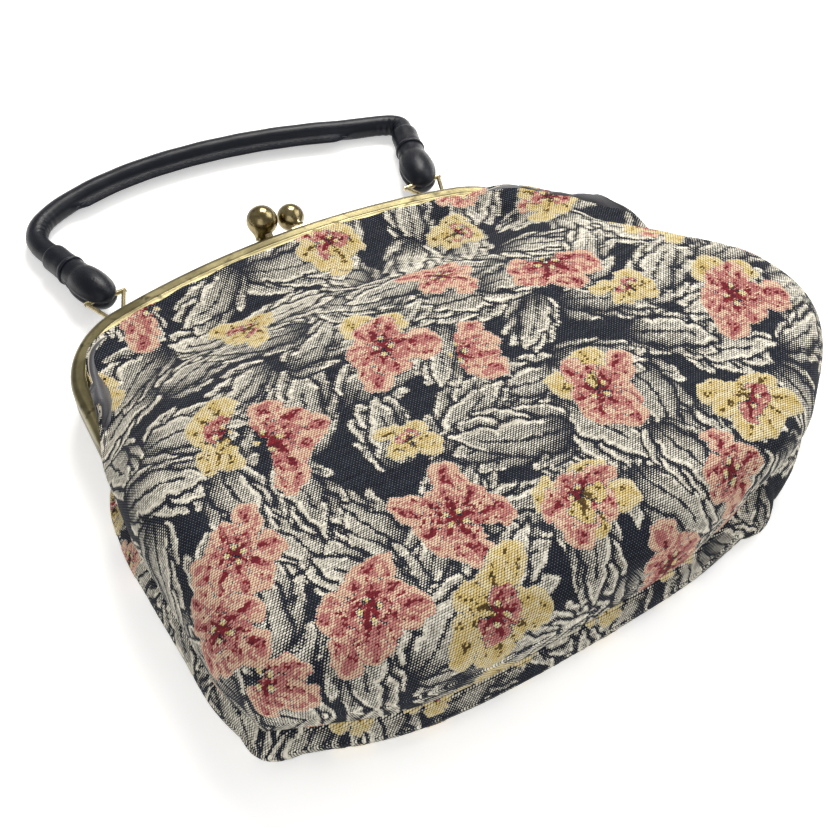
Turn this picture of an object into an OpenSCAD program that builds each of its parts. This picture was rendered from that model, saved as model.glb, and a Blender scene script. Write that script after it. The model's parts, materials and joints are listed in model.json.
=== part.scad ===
// Kiss-lock tapestry handbag, lying on its back with the handle laid out behind the frame.
// X runs across the bag, Y from the bottom seam to the handle, Z up from the surface it lies on.

/* [Metal frame] */
// Width of the frame over its shoulders
frame_w = 180; // [170:1:190]
// Height of the crown above the shoulders
frame_rise = 39; // [36:1:42]
// Radius of each rounded shoulder
shoulder_r = 32; // [28:1:34]
// Length of the straight legs below the shoulders, down to the hinge rivets
leg_len = 24.5; // [22:0.5:28]
// Width of the frame's face
face_w = 8; // [7:0.5:9]
// Width of the face at the hinges, where the legs end
foot_w = 3; // [2.8:0.1:4]
// Thickness of both frame halves together, closed
frame_t = 13; // [12.5:0.5:14]
// Thickness of the channel's outer wall and rim
wall = 1; // [0.8:0.1:1.2]

/* [Bag body] */
// Height of the meeting plane of the two halves above the table
mid_z = 14; // [13.6:0.2:16]
// Height of the stuffed front above the meeting plane
front_h = 27; // [24:1:30]
// Thickness of the tapestry cloth
cloth_t = 1.2; // [0.8:0.1:1.4]
// Thickness of the interlining and of the lining
inner_t = 0.5; // [0.4:0.1:0.6]

/* [Clasp] */
// Middle of the clasp, from the middle of the frame
clasp_x = 3.2; // [-6:0.2:6]
// Diameter of the ball on the back half
back_knob_d = 10.4; // [9:0.2:10.6]
// Diameter of the ball on the front half
front_knob_d = 9.8; // [9:0.2:10.2]
// Distance between the balls across the bag
knob_gap_x = 11.4; // [11:0.2:12]

/* [Handle] */
// Radius of the leather roll
roll_r = 4.2; // [3.8:0.1:4.3]
// Radius of the soft core inside the roll
core_r = 2.6; // [2:0.1:2.8]
// Distance of each handle eye from the middle
eye_x = 64; // [60:1:65]
// Radius of the brass wire of the loops
wire_r = 0.9; // [0.7:0.1:1]

/* [Hidden] */

$fn = 48;
// Gap that keeps parts on different bodies apart
clear = 0.5;
// Half of the gap between the two closed halves
half_gap = 0.15;
// Radial clearance of a turning fit
fit = 0.07;
// Height of the closed frame over the meeting plane
half_t = frame_t / 2;
shoulder_x = frame_w / 2 - shoulder_r;
crown_r = (pow(shoulder_x, 2) + pow(frame_rise, 2) - pow(shoulder_r, 2))
    / (2 * (frame_rise - shoulder_r));
crown_y = frame_rise - crown_r;
// Angle from the vertical at which the crown meets a shoulder
crown_a = asin(shoulder_x / (crown_r - shoulder_r));
hinge_y = -leg_len;
lug_r = 4.5;
lug_t = 1.3;
rivet_r = 1.5;
rivet_head_r = 2.4;
lug_clear_r = lug_r + clear;
back_lug_x = frame_w / 2 - 2 * lug_t - 0.4;
front_lug_x = frame_w / 2 - lug_t;

// Seam line of the stuffed body as it lies, from the left hinge round the bottom to the right hinge
left_x = -97;
right_x = 139.5;
bottom_y = -151.5;
seam_line = [
    [-82, -33.5], [-92, -43], [-96.4, -62], [left_x, -84], [-94.8, -111],
    [-86, -134], [-67, -145], [-38, -150], [-10, bottom_y], [20, -149.5],
    [50, -144], [80, -133.5], [108, -119], [128, -101], [right_x, -79],
    [134, -64], [117, -51], [98, -41], [82, -33.5]
];
body_c = [8, -78];
// How far the rings of a panel lie from the middle, as a share of the way to the seam
ring_rho = [1, 0.985, 0.94, 0.84, 0.68, 0.46];
rim_high = half_t - 0.1;
handle_end_y = 112.8 + roll_r;

// The bag is placed so that the origin is under the middle of its bounding box
origin_x = (left_x + right_x) / 2;
origin_y = (bottom_y + handle_end_y) / 2;

eye_y = crown_y + sqrt(pow(crown_r, 2) - pow(eye_x, 2)) + 3;
eye_z = mid_z - 3;
eye_r = 2.3;
eye_t = 1.4;
loop_reach = 14.8;
loop_drop = 2.4;
// Half of the loop's width at the frame eye and at the pod
loop_eye_half = 1.6;
loop_pod_half = 7;
loop_len = sqrt(pow(loop_reach, 2) + pow(loop_drop, 2));
loop_tilt = atan(loop_drop / loop_reach);
pivot_y = eye_y + loop_reach;
pivot_z = eye_z - loop_drop;
pod_r = 6.5;
pod_half = 12;
pod_shift = 8.5;
pod_yaw = 16;
pod_tilt = 5;
pod_socket = 5.5;
// Centre line of the handle roll where it lies, from the left pod to the right pod
handle_line = [
    [-68.4, 64.7, 7.2], [-71.1, 74.2, 6.3], [-73.3, 81.8, 5.6], [-75.3, 89, 4.9],
    [-74.9, 95.2, 4.4], [-70.5, 101.5, 4.4], [-60, 107, 4.4], [-44, 111.2, 4.4],
    [-25, 112.8, 4.4], [-4, 111.6, 4.4], [18, 107.8, 4.4], [38, 102.2, 4.4],
    [55, 96, 4.4], [68.6, 91.6, 4.4], [74.1, 87.2, 4.9], [73.3, 81.8, 5.6],
    [71.1, 74.2, 6.3], [68.4, 64.7, 7.2]
];

function arc(c, r, a0, a1, n) = [for (i = [0:n]) c + r * [sin(a0 + (a1 - a0) * i / n), cos(a0 + (a1 - a0) * i / n)]];
function arch(inset) = concat(
    arc([-shoulder_x, 0], shoulder_r - inset, -90, -crown_a, 9),
    arc([0, crown_y], crown_r - inset, -crown_a * 0.94, crown_a * 0.94, 14),
    arc([shoulder_x, 0], shoulder_r - inset, crown_a, 90, 9)
);
function spline(p0, p1, p2, p3, t) = p1 + 0.5 * t * (p2 - p0 + t * (2 * p0 - 5 * p1 + 4 * p2 - p3
    + t * (3 * (p1 - p2) + p3 - p0)));
function smooth_line(p, steps) = concat(
    [for (i = [0:len(p) - 2]) for (k = [0:steps - 1])
        spline(p[max(i - 1, 0)], p[i], p[i + 1], p[min(i + 2, len(p) - 1)], k / steps)],
    [p[len(p) - 1]]
);
function smooth_step(t) = t * t * (3 - 2 * t);
function mix(a, b, t) = a + (b - a) * t;

// What an inset of the shoulders becomes at the hinges, where the face is narrower
function foot_inset(inset) = inset <= wall ? inset : wall + (inset - wall) * (foot_w - wall) / (face_w - wall);

// Region inside the frame's outer line, moved inwards by an inset
module arch_region(inset, foot = 0) {
    half_w = frame_w / 2 - foot_inset(inset);
    polygon(concat([[-half_w, hinge_y + foot]], arch(inset), [[half_w, hinge_y + foot]]));
}

module arch_band(outer_inset, inner_inset, foot = 0) {
    difference() {
        arch_region(outer_inset, foot);
        translate([0, -1]) arch_region(inner_inset, foot);
        arch_region(inner_inset, foot);
    }
}

module at_origin() {
    translate([-origin_x, -origin_y, 0]) children();
}

module hinge_disc(x0, x1, r) {
    translate([x0, hinge_y, mid_z]) rotate([0, 90, 0]) cylinder(h = x1 - x0, r = r);
}

// One channel-shaped half, on the positive side of the meeting plane
module frame_half() {
    translate([0, 0, half_t - wall]) linear_extrude(wall - 0.4) arch_band(0, face_w);
    translate([0, 0, half_t - 0.4]) linear_extrude(0.4) arch_band(0.4, face_w - 0.3);
    translate([0, 0, half_gap]) linear_extrude(half_t - half_gap - wall / 2) arch_band(0, wall);
    translate([0, 0, half_gap]) linear_extrude(wall) arch_band(0, face_w - 1);
}

module rivet_bores(r) {
    hinge_disc(-frame_w / 2 - 1, frame_w / 2 + 1, r);
}

module back_frame() {
    color("darkkhaki") at_origin() difference() {
        union() {
            difference() {
                translate([0, 0, mid_z]) mirror([0, 0, 1]) frame_half();
                hinge_disc(-frame_w / 2 - 1, 0.5 - front_lug_x, lug_clear_r);
                hinge_disc(front_lug_x - 0.5, frame_w / 2 + 1, lug_clear_r);
            }
            for (x = [back_lug_x, -back_lug_x - lug_t]) {
                hinge_disc(x, x + lug_t, lug_r);
                translate([x, hinge_y, mid_z - half_t + wall / 2]) cube([lug_t, 7, half_t - wall / 2 - half_gap]);
            }
        }
        rivet_bores(rivet_r);
    }
}

module front_frame() {
    color("darkkhaki") at_origin() difference() {
        union() {
            difference() {
                translate([0, 0, mid_z]) frame_half();
                hinge_disc(-front_lug_x, front_lug_x, lug_clear_r);
            }
            for (x = [front_lug_x, -front_lug_x - lug_t]) hinge_disc(x, x + lug_t, lug_r);
        }
        rivet_bores(rivet_r + fit);
    }
}

// A rivet with its head inside the bag and its outer end filed flush
module hinge_rivet(side) {
    color("goldenrod") at_origin() mirror([side < 0 ? 1 : 0, 0, 0]) {
        hinge_disc(back_lug_x - 0.6, frame_w / 2 - 0.05, rivet_r);
        hinge_disc(back_lug_x - 1.1, back_lug_x - 0.05, rivet_head_r);
    }
}

module left_hinge_rivet() hinge_rivet(-1);
module right_hinge_rivet() hinge_rivet(1);

// Places of the clasp: the back half's ball stands over the front half's, and they snap past each other
back_knob_x = clasp_x - knob_gap_x / 2;
front_knob_x = clasp_x + knob_gap_x / 2;
back_knob_y = frame_rise + 9.8;
front_knob_y = frame_rise + 10.4;
back_knob_z = mid_z + 4.4;
front_knob_z = mid_z + 0.6;
arm_w = 2.6;
arm_t = 1.2;
arm_plate_w = 7;

// A bent strip that stands on a half's rim and leans over the meeting plane
module clasp_arm(x, knob_y, knob_z, side) {
    rim_y = frame_rise - 0.15;
    foot_z = mid_z + side * 4.4;
    translate([x - arm_plate_w / 2, rim_y + 0.15, min(foot_z, foot_z - side * 3.4)])
        cube([arm_plate_w, arm_t, 3.4]);
    hull() {
        translate([x - arm_w / 2, rim_y + 0.2, min(foot_z - side, foot_z - side * 3)]) cube([arm_w, arm_t, 2]);
        translate([x - arm_w / 2, knob_y - 3, knob_z - 0.8]) cube([arm_w, 2, 1.6]);
    }
}

module back_clasp_arm() {
    color("goldenrod") at_origin() difference() {
        clasp_arm(back_knob_x, back_knob_y, back_knob_z, -1);
        translate([back_knob_x, back_knob_y, back_knob_z]) sphere(r = back_knob_d / 2 + 0.02);
    }
}

module front_clasp_arm() {
    color("goldenrod") at_origin() difference() {
        clasp_arm(front_knob_x, front_knob_y, front_knob_z, 1);
        translate([front_knob_x, front_knob_y, front_knob_z]) sphere(r = front_knob_d / 2 + 0.02);
    }
}

module back_clasp_knob() {
    color("gold") at_origin() translate([back_knob_x, back_knob_y, back_knob_z]) sphere(d = back_knob_d);
}

module front_clasp_knob() {
    color("gold") at_origin() translate([front_knob_x, front_knob_y, front_knob_z]) sphere(d = front_knob_d);
}

// Two flat-headed rivets that hold an arm's foot to the rim
module clasp_rivets(x, side) {
    for (dx = [-2.4, 2.4])
        translate([x + dx, frame_rise + arm_t + 0.05, mid_z + side * 2.7])
            rotate([-90, 0, 0]) cylinder(h = 0.6, r = 0.7);
}

module back_clasp_rivets() {
    color("goldenrod") at_origin() clasp_rivets(back_knob_x, -1);
}

module front_clasp_rivets() {
    color("goldenrod") at_origin() clasp_rivets(front_knob_x, 1);
}

// A staple-shaped eye soldered to the back half's rim
module handle_eye(side) {
    color("goldenrod") at_origin() translate([side * eye_x, eye_y, eye_z]) difference() {
        union() {
            translate([-eye_t / 2, 0, 0]) rotate([0, 90, 0]) cylinder(h = eye_t, r = eye_r);
            translate([-eye_t / 2, -2.9, -eye_r]) cube([eye_t, 2.9, 2 * eye_r]);
        }
        translate([-eye_t, 0, 0]) rotate([0, 90, 0]) cylinder(h = 2 * eye_t, r = wire_r + fit);
    }
}

module left_handle_eye() handle_eye(-1);
module right_handle_eye() handle_eye(1);

// A three-cornered bail of wire: its narrow side in the frame eye, its wide side the pod's pin
module wire_loop(side) {
    spread = loop_pod_half - loop_eye_half;
    leg_r = wire_r * 0.9;
    color("goldenrod") at_origin() translate([side * eye_x, eye_y, eye_z]) rotate([-loop_tilt, 0, 0]) {
        translate([-loop_eye_half - leg_r, 0, 0]) rotate([0, 90, 0])
            cylinder(h = 2 * (loop_eye_half + leg_r), r = wire_r);
        translate([-loop_pod_half - leg_r, loop_len, 0]) rotate([0, 90, 0])
            cylinder(h = 2 * (loop_pod_half + leg_r), r = wire_r);
        for (s = [-1, 1])
            translate([s * loop_eye_half, 0, 0]) rotate([-90, 0, -s * atan(spread / loop_len)])
                cylinder(h = sqrt(pow(spread, 2) + pow(loop_len, 2)), r = leg_r);
    }
}

module left_wire_loop() wire_loop(-1);
module right_wire_loop() wire_loop(1);

// Lays a child that is built along +Y from the loop's outer end along a leg of the handle
module along_leg(side) {
    translate([side * eye_x, pivot_y, pivot_z]) rotate([0, 0, -side * pod_yaw]) rotate([-pod_tilt, 0, 0]) children();
}

// A moulded leather pod, drilled across for the bail's pin and socketed for the roll
module handle_pod(side) {
    color("midnightblue") at_origin() difference() {
        along_leg(side) difference() {
            translate([0, pod_shift, 0]) rotate([-90, 0, 0]) rotate_extrude() polygon(concat(
                [[0, -pod_half]],
                [for (a = [-80:10:20]) [pod_r * cos(a), pod_half * sin(a)]],
                [[roll_r + 0.9, pod_half - 1], [roll_r + 0.7, pod_half], [0, pod_half]]
            ));
            translate([0, pod_shift + pod_half - pod_socket, 0]) rotate([-90, 0, 0])
                cylinder(h = pod_socket + 1, r = roll_r + 0.15);
        }
        translate([side * eye_x - pod_r - 1, pivot_y, pivot_z]) rotate([0, 90, 0])
            cylinder(h = 2 * pod_r + 2, r = wire_r + fit);
    }
}

module left_handle_pod() handle_pod(-1);
module right_handle_pod() handle_pod(1);

// A leather sleeve over the roll, from the pod to the bend of the handle
sleeve_len = 12;
sleeve_wall = 0.8;

module handle_sleeve(side) {
    color("midnightblue") at_origin() along_leg(side)
        translate([0, pod_shift + pod_half + 0.2, 0]) rotate([-90, 0, 0]) difference() {
            cylinder(h = sleeve_len, r = roll_r + 0.3 + sleeve_wall);
            translate([0, 0, -1]) cylinder(h = sleeve_len + 2, r = roll_r + 0.3);
        }
}

module left_handle_sleeve() handle_sleeve(-1);
module right_handle_sleeve() handle_sleeve(1);

// The roll's centre line: it leaves each pod along the leg
handle_path = smooth_line(handle_line, 2);
handle_n = len(handle_path);
roll_sides = 14;
flange_w = 2.6;
function path_dir(i) = let (d = handle_path[min(i + 1, handle_n - 1)] - handle_path[max(i - 1, 0)]) d / norm(d);
function side_dir(i) = let (s = cross([0, 0, 1], path_dir(i))) s / norm(s);
// The flange on the inner side grows along the grip and dies out on the legs
function flange(i) = flange_w * smooth_step(max(0, min(1, min(i, handle_n - 1 - i) / 6 - 1)));
function roll_ring(i, r, lip) = let (s = side_dir(i), u = cross(path_dir(i), s))
    [for (k = [0:roll_sides - 1]) let (a = 360 * k / roll_sides)
        handle_path[i] + r * sin(a) * u + s * (r * cos(a) - lip * pow(max(0, -cos(a)), 3))];

module roll(r, hole) {
    n = handle_n;
    m = roll_sides;
    outer = [for (i = [0:n - 1]) roll_ring(i, r, hole > 0 ? flange(i) : 0)];
    inner = [for (i = [0:n - 1]) roll_ring(i, max(hole, 0.5), 0)];
    pts = [for (ring = hole > 0 ? concat(outer, inner) : outer) for (p = ring) p];
    skin = [for (i = [0:n - 2]) for (k = [0:m - 1])
        [(i + 1) * m + k, (i + 1) * m + (k + 1) % m, i * m + (k + 1) % m, i * m + k]];
    bore = [for (f = skin) [for (j = [3:-1:0]) f[j] + n * m]];
    ends_hollow = [for (k = [0:m - 1]) for (e = [0, 1]) let (b = e * (n - 1) * m, c = k, d = (k + 1) % m)
        e == 0 ? [b + c, b + d, b + d + n * m, b + c + n * m] : [b + d, b + c, b + c + n * m, b + d + n * m]];
    ends_full = [[for (k = [0:m - 1]) k], [for (k = [m - 1:-1:0]) (n - 1) * m + k]];
    polyhedron(pts, hole > 0 ? concat(skin, bore, ends_hollow) : concat(skin, ends_full), 4);
}

module handle_cover() {
    color("midnightblue") at_origin() roll(roll_r, core_r + 0.1);
}

module handle_core() {
    color("tan") at_origin() roll(core_r, 0);
}

// Outline of the stuffed panels: the seam line, then back along the inside of the frame
mouth_line = [for (p = arch(face_w + clear)) p];
seam_smooth = smooth_line(seam_line, 2);
mouth_back = [for (i = [len(mouth_line) - 1:-2:0]) mouth_line[i]];
panel_edge = concat(seam_smooth, [[mouth_back[0][0], -20]], mouth_back, [[-mouth_back[0][0], -20]]);
edge_n = len(panel_edge);
function mouth_share(p) = smooth_step(max(0, min(1, (p[1] + 46) / 24)));
function inwards(p, t) = let (d = body_c - p) p + d * t / norm(d);
// Heights over the meeting plane, from the edge to the crown, by the seam and by the frame
front_seam_rise = [0, 0.22, 0.46, 0.7, 0.88, 1];
front_mouth_rise = [0, 0.005, 0.045, 0.2, 0.6, 1];
back_seam_rise = [0, 0.42, 0.82, 1, 1, 1];
back_mouth_rise = [0, 0.02, 0.1, 0.42, 0.92, 1];

// One surface of a panel, as rings of points, at a depth under the outside
function panel_rings(h, depth, seam_rise, mouth_rise, up) = [for (k = [0:len(ring_rho) - 1])
    [for (p = panel_edge) let (
        w = mouth_share(p),
        q = mix(body_c, inwards(p, depth), ring_rho[k]),
        by_seam = mix(half_gap, h - depth, seam_rise[k]),
        by_mouth = mix(rim_high - depth, h - depth, mouth_rise[k])
    ) [q[0], q[1], mid_z + up * mix(by_seam, by_mouth, w)]]];

module panel_shell(h, t0, t1, seam_rise, mouth_rise, up) {
    m = edge_n;
    r = len(ring_rho);
    outside = panel_rings(h, t0, seam_rise, mouth_rise, up);
    inside = panel_rings(h, t1, seam_rise, mouth_rise, up);
    pts = [for (ring = concat(outside, inside)) for (p = ring) p];
    skin = [for (k = [0:r - 2]) for (j = [0:m - 1]) let (a = k * m + j, b = k * m + (j + 1) % m)
        each [[a, b, b + m], [a, b + m, a + m]]];
    back = [for (f = skin) [f[2] + r * m, f[1] + r * m, f[0] + r * m]];
    rim = [for (j = [0:m - 1]) let (k = (j + 1) % m) each [[k, j, j + r * m], [k, j + r * m, k + r * m]]];
    cap = [[for (j = [0:m - 1]) (r - 1) * m + j]];
    back_cap = [[for (j = [m - 1:-1:0]) (2 * r - 1) * m + j]];
    all_faces = concat(skin, back, rim, cap, back_cap);
    polyhedron(pts, up > 0 ? [for (f = all_faces) [for (j = [len(f) - 1:-1:0]) f[j]]] : all_faces, 4);
}

module front_shell(t0, t1) {
    panel_shell(front_h, t0, t1, front_seam_rise, front_mouth_rise, 1);
}

module back_shell(t0, t1) {
    panel_shell(mid_z, t0, t1, back_seam_rise, back_mouth_rise, -1);
}

module front_panel() {
    color("rosybrown") at_origin() front_shell(0, cloth_t);
}

module back_panel() {
    color("dimgray") at_origin() back_shell(0, cloth_t);
}

module front_interlining() {
    color("ivory") at_origin() front_shell(cloth_t + 0.05, cloth_t + inner_t);
}

module back_interlining() {
    color("ivory") at_origin() back_shell(cloth_t + 0.05, cloth_t + inner_t);
}

module front_lining() {
    color("black") at_origin() front_shell(cloth_t + inner_t + 0.05, cloth_t + 2 * inner_t);
}

module back_lining() {
    color("black") at_origin() back_shell(cloth_t + inner_t + 0.05, cloth_t + 2 * inner_t);
}

// A flat pocket that lies on the back lining
pocket_size = [84, 50, 0.6];
pocket_y = -110;

module lining_pocket() {
    color("dimgray") at_origin()
        translate([body_c[0] - pocket_size[0] / 2, pocket_y, cloth_t + 2 * inner_t + 0.2]) cube(pocket_size);
}

// Paper cord crimped into a half's channel, behind the cloth's edge
module channel_cord(side) {
    d = 2.4;
    translate([0, 0, mid_z + side * (half_t - wall - 0.3 - d / 2) - d / 2]) linear_extrude(d)
        intersection() {
            arch_band(wall + 0.4, wall + 0.4 + d);
            translate([-frame_w / 2, hinge_y + 9]) square([frame_w, frame_w]);
        }
}

module front_channel_cord() {
    color("burlywood") at_origin() channel_cord(1);
}

module back_channel_cord() {
    color("burlywood") at_origin() channel_cord(-1);
}

back_frame();
front_frame();
left_hinge_rivet();
right_hinge_rivet();
back_clasp_arm();
front_clasp_arm();
back_clasp_knob();
front_clasp_knob();
back_clasp_rivets();
front_clasp_rivets();
left_handle_eye();
right_handle_eye();
left_wire_loop();
right_wire_loop();
left_handle_pod();
right_handle_pod();
left_handle_sleeve();
right_handle_sleeve();
handle_cover();
handle_core();
front_panel();
back_panel();
front_interlining();
back_interlining();
front_lining();
back_lining();
lining_pocket();
front_channel_cord();
back_channel_cord();
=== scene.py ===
import json
import math

import bmesh
import bpy
import numpy as np
from mathutils import Matrix, Vector


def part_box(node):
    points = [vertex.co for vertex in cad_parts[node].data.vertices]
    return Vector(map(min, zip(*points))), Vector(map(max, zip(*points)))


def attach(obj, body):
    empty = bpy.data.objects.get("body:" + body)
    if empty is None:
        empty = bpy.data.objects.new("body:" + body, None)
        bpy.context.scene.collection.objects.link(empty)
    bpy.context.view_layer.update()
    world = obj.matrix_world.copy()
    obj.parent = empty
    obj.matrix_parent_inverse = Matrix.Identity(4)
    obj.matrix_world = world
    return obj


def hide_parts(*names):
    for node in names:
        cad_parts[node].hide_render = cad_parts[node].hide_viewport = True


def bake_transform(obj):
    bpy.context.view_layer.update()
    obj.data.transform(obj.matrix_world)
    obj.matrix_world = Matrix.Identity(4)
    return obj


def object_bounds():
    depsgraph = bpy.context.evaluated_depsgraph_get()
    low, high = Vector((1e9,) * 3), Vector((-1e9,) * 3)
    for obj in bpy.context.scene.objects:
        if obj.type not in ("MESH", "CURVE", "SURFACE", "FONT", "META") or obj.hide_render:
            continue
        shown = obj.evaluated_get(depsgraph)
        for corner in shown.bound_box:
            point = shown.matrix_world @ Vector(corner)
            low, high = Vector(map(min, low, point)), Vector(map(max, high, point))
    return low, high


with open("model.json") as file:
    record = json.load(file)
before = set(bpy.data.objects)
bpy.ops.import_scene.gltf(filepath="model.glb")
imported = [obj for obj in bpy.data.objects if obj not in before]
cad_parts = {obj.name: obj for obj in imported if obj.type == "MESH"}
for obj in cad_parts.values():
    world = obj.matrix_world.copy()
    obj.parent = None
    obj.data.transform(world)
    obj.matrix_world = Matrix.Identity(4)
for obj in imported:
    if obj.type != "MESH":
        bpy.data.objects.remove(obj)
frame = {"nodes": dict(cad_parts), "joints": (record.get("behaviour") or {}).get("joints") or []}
cad_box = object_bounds()

# --- Studio -------------------------------------------------------------------------------
# The bag lies on a plain pale table under a large soft light, with a camera above its lower
# left corner. Places are given in millimetres from the middle of the frame's shoulder line.
mm = 0.001
joints = {joint["name"]: joint for joint in frame["joints"]}
hinge_at = Vector(joints["frame_open"]["pos_m"])
leg_len = 24.5
centre_x = hinge_at.x
shoulder_y = hinge_at.y + leg_len * mm
mid_z = hinge_at.z / mm


def at(x, y, z):
    return Vector((centre_x + x * mm, shoulder_y + y * mm, z * mm))


def add_object(name, data):
    made = bpy.data.objects.new(name, data)
    bpy.context.scene.collection.objects.link(made)
    return made


def aim(thing, place, target):
    thing.location = place
    thing.rotation_euler = (target - place).to_track_quat("-Z", "Y").to_euler()


camera = add_object("camera", bpy.data.cameras.new("camera"))
camera.data.sensor_width = 36
camera.data.lens = 56.6
camera.data.clip_start = 0.01
aim(camera, at(-121.7, -285.7, 341.1), at(10, -43.5, 0))
bpy.context.scene.camera = camera

world = bpy.data.worlds.new("studio")
world.use_nodes = True
world.node_tree.nodes["Background"].inputs["Color"].default_value = (1.0, 0.985, 0.96, 1)
world.node_tree.nodes["Background"].inputs["Strength"].default_value = 0.42
bpy.context.scene.world = world
bpy.context.scene.view_settings.view_transform = "Standard"


def soft_light(name, place, target, size, power, colour=(1, 1, 1)):
    light = bpy.data.lights.new(name, "AREA")
    light.size = size
    light.energy = power
    light.color = colour
    aim(add_object(name, light), place, target)


bag_middle = at(8, -50, 20)
soft_light("window_light", at(290, 400, 620), bag_middle, 0.35, 6.2, (1.0, 0.97, 0.93))
soft_light("side_light", at(520, -60, 420), bag_middle, 0.4, 1.5)
soft_light("front_fill", at(-420, -520, 480), bag_middle, 0.6, 1.3)


class Shade:
    """A socket of a material's nodes, so that shader maths reads as Python."""

    def __init__(self, tree, socket=None):
        self.tree = tree
        self.socket = socket

    def put(self, socket, value):
        if isinstance(value, Shade):
            self.tree.links.new(value.socket, socket)
        else:
            socket.default_value = value

    def node(self, kind, settings=None, values=None, output=0):
        made = self.tree.nodes.new(kind)
        for name, value in (settings or {}).items():
            if name == "stops":
                ramp = made.color_ramp
                while len(ramp.elements) < len(value):
                    ramp.elements.new(0.5)
                for element, (place, colour) in zip(ramp.elements, value):
                    element.position = place
                    element.color = colour
            else:
                setattr(made, name, value)
        for name, value in (values or {}).items():
            self.put(made.inputs[name], value)
        return Shade(self.tree, made.outputs[output])

    def math(self, operation, *others, clamp=False):
        values = dict(enumerate((self,) + others))
        return self.node("ShaderNodeMath", {"operation": operation, "use_clamp": clamp}, values)

    def __add__(self, other):
        return self.math("ADD", other)

    __radd__ = __add__

    def __sub__(self, other):
        return self.math("SUBTRACT", other)

    def __rsub__(self, other):
        return self.math("MULTIPLY", -1.0).math("ADD", other)

    def __mul__(self, other):
        return self.math("MULTIPLY", other)

    __rmul__ = __mul__

    def __truediv__(self, other):
        return self.math("DIVIDE", other)

    def fract(self):
        return self.math("FRACT")

    def floor(self):
        return self.math("FLOOR")

    def above(self, other):
        return self.math("GREATER_THAN", other)

    def ease(self, low, high, to_low=0.0, to_high=1.0):
        values = {"Value": self, "From Min": low, "From Max": high, "To Min": to_low, "To Max": to_high}
        return self.node("ShaderNodeMapRange", {"interpolation_type": "SMOOTHSTEP"}, values)

    def mix(self, first, second):
        values = {0: self, 6: first, 7: second}
        return self.node("ShaderNodeMix", {"data_type": "RGBA"}, values, 2)

    def split(self, axis):
        return self.node("ShaderNodeSeparateXYZ", None, {0: self}, axis)

    def noise(self, scale, detail=2.0, rough=0.5):
        values = {"Vector": self, "Scale": scale, "Detail": detail, "Roughness": rough}
        return self.node("ShaderNodeTexNoise", None, values)


def new_finish(name):
    """A material with a Principled surface, and the Shade that adds nodes to it."""
    material = bpy.data.materials.new(name)
    material.use_nodes = True
    tree = material.node_tree
    return material, Shade(tree), tree.nodes["Principled BSDF"]


def surface(shade, bsdf, height=None, distance=0.1 * mm, **values):
    """Sets the Principled sockets, and a bump of a height over a distance in metres."""
    for name, value in values.items():
        shade.put(bsdf.inputs[name.replace("_", " ")], value)
    if height is not None:
        bump = shade.node("ShaderNodeBump", None, {"Height": height, "Distance": distance})
        shade.put(bsdf.inputs["Normal"], bump)


def rgba(red, green, blue):
    return (red, green, blue, 1)


table_finish, shade, bsdf = new_finish("pale_table")
grain = shade.node("ShaderNodeTexCoord", output="Object").noise(40.0, 3.0)
surface(shade, bsdf, Base_Color=grain.mix(rgba(0.93, 0.93, 0.925), rgba(0.96, 0.96, 0.955)),
        Roughness=0.85,
        Emission_Color=rgba(1, 1, 1), Emission_Strength=0.42)
floor_mesh = bpy.data.meshes.new("table_top")
reach = 3.0
floor_mesh.from_pydata([(-reach, -reach, 0), (reach, -reach, 0), (reach, reach, 0), (-reach, reach, 0)],
                       [], [(0, 1, 2, 3)])
floor_mesh.materials.append(table_finish)
table_top = add_object("table_top", floor_mesh)
table_top.location.z = cad_box[0][2] - 0.0002


# --- Metal frame --------------------------------------------------------------------------
# Two channel-shaped halves of aged, olive-coloured brass, pressed from strip and bent to an
# arch. The face rolls over at its outer edge and narrows down each leg to the hinge lugs.
frame_w = 180.0
frame_rise = 39.0
shoulder_r = 32.0
face_w = 8.0
foot_w = 3.0
half_t = 6.5
wall = 1.0
half_gap = 0.15
shoulder_x = frame_w / 2 - shoulder_r
crown_r = (shoulder_x**2 + frame_rise**2 - shoulder_r**2) / (2 * (frame_rise - shoulder_r))
crown_y = frame_rise - crown_r
crown_a = math.asin(shoulder_x / (crown_r - shoulder_r))


def resample(points, count):
    """The same line as evenly spaced points."""
    points = np.asarray(points, float)
    gone = np.r_[0, np.cumsum(np.linalg.norm(np.diff(points, axis=0), axis=1))]
    places = np.linspace(0, gone[-1], count)
    return np.stack([np.interp(places, gone, points[:, k]) for k in range(points.shape[1])], 1)


def arch_line(inset, count, foot=-leg_len):
    """The frame's outline moved inwards, from the left foot over the crown to the right foot."""
    foot_inset = inset if inset <= wall else wall + (inset - wall) * (foot_w - wall) / (face_w - wall)
    line = [(-frame_w / 2 + foot_inset, foot)]
    for k in range(31):
        a = -math.pi / 2 + (math.pi / 2 - crown_a) * k / 30
        line.append((-shoulder_x + (shoulder_r - inset) * math.sin(a), (shoulder_r - inset) * math.cos(a)))
    for k in range(1, 60):
        a = -crown_a + 2 * crown_a * k / 60
        line.append(((crown_r - inset) * math.sin(a), crown_y + (crown_r - inset) * math.cos(a)))
    for k in range(31):
        a = crown_a + (math.pi / 2 - crown_a) * k / 30
        line.append((shoulder_x + (shoulder_r - inset) * math.sin(a), (shoulder_r - inset) * math.cos(a)))
    line.append((frame_w / 2 - foot_inset, foot))
    return resample(line, count)


def mesh_from(name, points, faces, finish, smooth=True):
    """A mesh object from points in millimetres on the bag's own axes."""
    data = bpy.data.meshes.new(name)
    data.from_pydata([at(*p) for p in points], [], faces)
    data.materials.append(finish)
    data.polygons.foreach_set("use_smooth", [smooth] * len(data.polygons))
    data.update()
    return add_object(name, data)


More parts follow.
